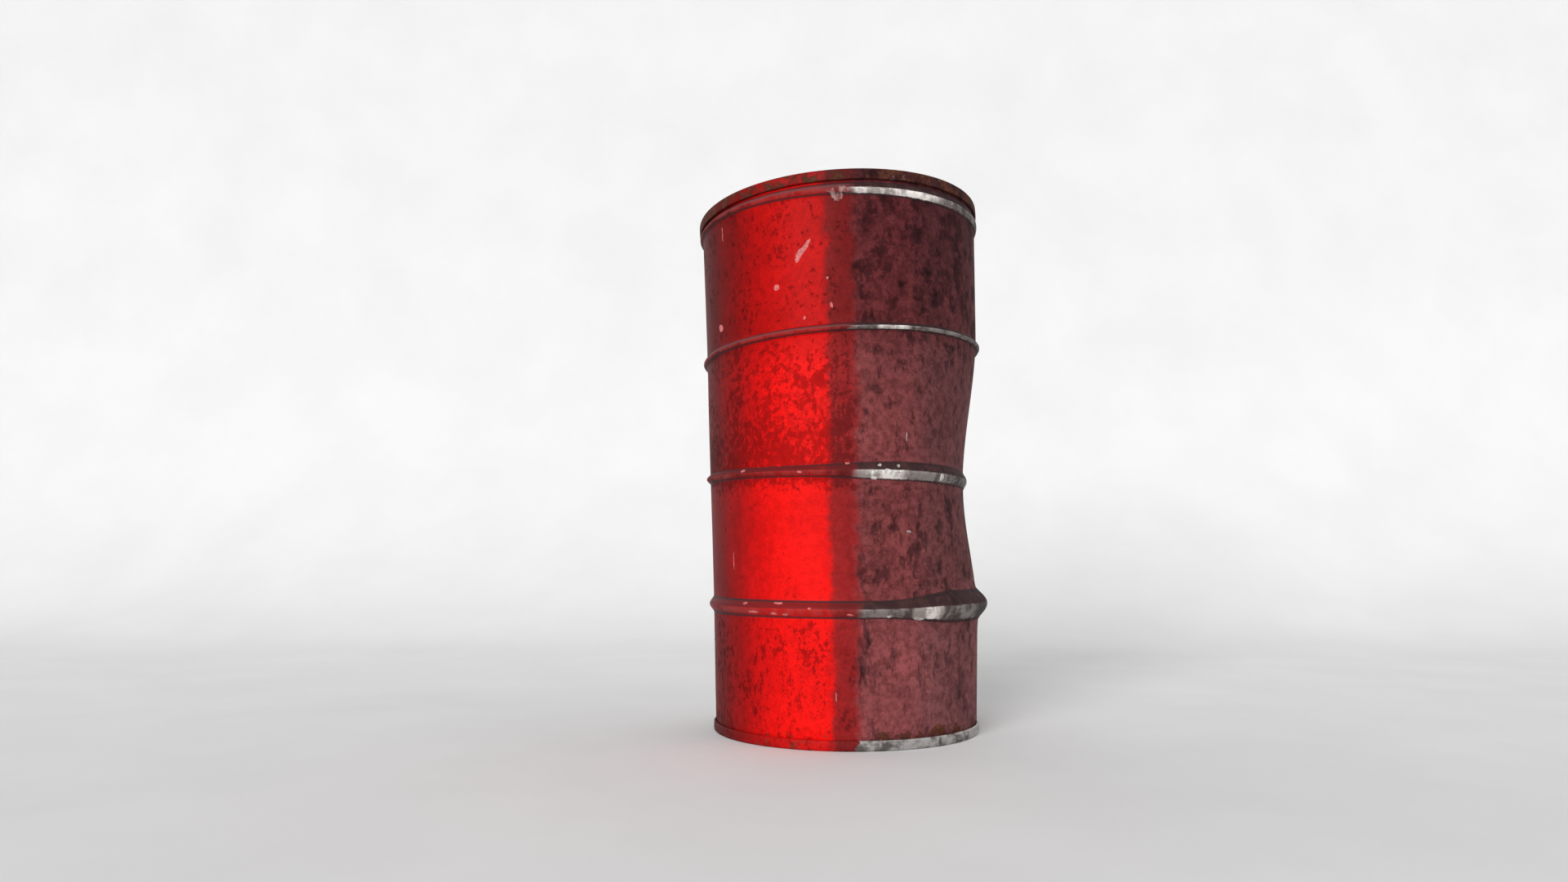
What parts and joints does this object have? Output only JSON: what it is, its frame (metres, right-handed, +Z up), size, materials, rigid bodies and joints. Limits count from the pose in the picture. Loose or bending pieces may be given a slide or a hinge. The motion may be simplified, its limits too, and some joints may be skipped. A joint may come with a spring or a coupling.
{
  "type": "rusty oil barrel",
  "caption": "Tall dented steel oil drum with rolled hoops, folded rims, closed heads and two screw bungs; worn red paint, bare steel hoops and rust.",
  "frame": {"origin": "middle of the outer box, on the ground under the bottom rim", "axes": "+Z up along the drum's length, +X towards the dented side, -Y towards the viewer of the picture"},
  "size_m": [0.4944, 0.4948, 0.8985],
  "materials": {
    "shell_paint": "worn red paint, chalked and rusting, with bare steel on the hoops",
    "head_paint": "worn red paint with bare, rusting steel on the folded rim",
    "zinc": "dull zinc plate with rust",
    "rubber": "matt black rubber"
  },
  "bodies": {
    "drum": {"drum_shell": "shell_paint", "top_head": "head_paint", "bottom_head": "head_paint", "large_bung_flange": "zinc", "large_bung_flange_gasket": "rubber", "small_bung_flange": "zinc", "small_bung_flange_gasket": "rubber"},
    "large_gasket": {"large_bung_plug_gasket": "rubber"},
    "large_plug": {"large_bung_plug": "zinc"},
    "small_gasket": {"small_bung_plug_gasket": "rubber"},
    "small_plug": {"small_bung_plug": "zinc"}
  },
  "joints": [
    {"name": "large_bung_lift", "type": "slide", "parent": "drum", "child": "large_gasket", "axis": [-0.0505, 0.0576, 0.9971], "range_m": [0, 0.0151]},
    {"name": "large_bung_turn", "type": "hinge", "parent": "large_gasket", "child": "large_plug", "pos_m": [0.05694, -0.12472, 0.8683], "axis": [-0.0505, 0.0576, 0.9971], "range_deg": [0, 2340]},
    {"name": "small_bung_lift", "type": "slide", "parent": "drum", "child": "small_gasket", "axis": [-0.0505, 0.0576, 0.9971], "range_m": [0, 0.0119]},
    {"name": "small_bung_turn", "type": "hinge", "parent": "small_gasket", "child": "small_plug", "pos_m": [-0.06889, 0.14672, 0.84625], "axis": [-0.0505, 0.0576, 0.9971], "range_deg": [0, 2340]}
  ],
  "couplings": [
    {"joint": "large_bung_lift", "follows": "large_bung_turn", "m_per_rad": 0.0003675},
    {"joint": "small_bung_lift", "follows": "small_bung_turn", "m_per_rad": 0.0002887}
  ]
}
